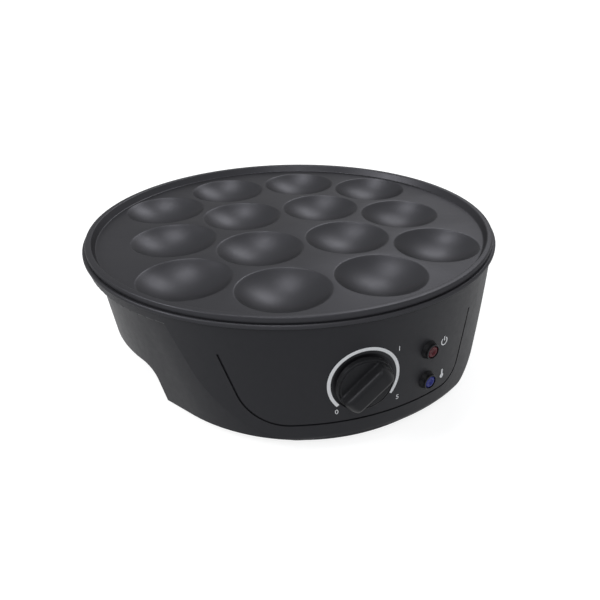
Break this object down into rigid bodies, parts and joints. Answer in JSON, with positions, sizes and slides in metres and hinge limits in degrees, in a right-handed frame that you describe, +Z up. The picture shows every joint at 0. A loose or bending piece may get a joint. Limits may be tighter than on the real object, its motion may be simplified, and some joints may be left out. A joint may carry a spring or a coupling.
{
  "type": "pancake maker",
  "caption": "Round countertop pancake cooker: open cast plate with round wells on a black moulded housing with a raised front panel, heat knob and indicator lamps.",
  "frame": {"origin": "on the table, under the middle of the outline", "axes": "+Z up, front with the heat knob towards -Y, +X to the right of someone who faces the front"},
  "size_m": [0.28, 0.2898, 0.0888],
  "materials": {
    "nonstick_aluminium": "cast aluminium under a satin charcoal non-stick coating",
    "housing_plastic": "black heat-resistant moulding with a fine satin texture",
    "cover_plastic": "black moulding with a fine matt texture",
    "knob_plastic": "black satin moulding",
    "bezel_plastic": "black satin moulding",
    "red_lens": "clear red moulding",
    "blue_lens": "clear blue moulding",
    "bulb_glass": "small glow lamp glass",
    "foot_rubber": "black matt rubber",
    "gland_rubber": "black rubber",
    "element_steel": "heat-tinted steel tube",
    "shield_steel": "aluminised steel sheet",
    "zinc_steel": "zinc-plated steel",
    "spring_steel": "bright spring steel",
    "terminal_brass": "plain brass",
    "copper": "drawn copper",
    "ceramic": "off-white steatite",
    "brown_lead": "brown heat-resistant insulation",
    "blue_lead": "blue heat-resistant insulation",
    "earth_lead": "green and yellow heat-resistant insulation",
    "sleeved_lead": "white woven glass sleeving",
    "lamp_lead": "red thin insulation"
  },
  "bodies": {
    "base": {"cooking_plate": "nonstick_aluminium", "heating_element": "element_steel", "element_seals": "ceramic", "element_terminals": "terminal_brass", "heat_shield": "shield_steel", "plate_washers": "zinc_steel", "plate_screws": "zinc_steel", "housing": "housing_plastic", "bottom_cover": "cover_plastic", "cover_screws": "zinc_steel", "rubber_feet": "foot_rubber", "thermostat_bush": "terminal_brass", "thermostat_case": "ceramic", "thermostat_tabs": "terminal_brass", "thermostat_bracket": "shield_steel", "bracket_screws": "zinc_steel", "capillary_tube": "copper", "sensing_bulb": "copper", "bulb_clip": "spring_steel", "bulb_clip_screw": "zinc_steel", "thermal_fuse": "ceramic", "fuse_clamp": "spring_steel", "fuse_clamp_screw": "zinc_steel", "earth_tag": "terminal_brass", "earth_screw": "zinc_steel", "lamp_bezels": "bezel_plastic", "red_lens": "red_lens", "blue_lens": "blue_lens", "lamp_bulbs": "bulb_glass", "terminal_block": "ceramic", "terminal_screws": "terminal_brass", "block_screws": "zinc_steel", "live_lead": "brown_lead", "neutral_lead": "blue_lead", "earth_lead": "earth_lead", "thermostat_fuse_lead": "sleeved_lead", "fuse_element_lead": "sleeved_lead", "lamp_leads": "lamp_lead", "cord_gland": "gland_rubber"},
    "knob": {"knob": "knob_plastic", "knob_clip": "spring_steel", "thermostat_spindle": "zinc_steel"}
  },
  "joints": [
    {"name": "knob_turn", "type": "hinge", "parent": "base", "child": "knob", "pos_m": [0.0024, -0.1331, 0.0435], "axis": [0, 1, 0], "range_deg": [0, 258]}
  ]
}
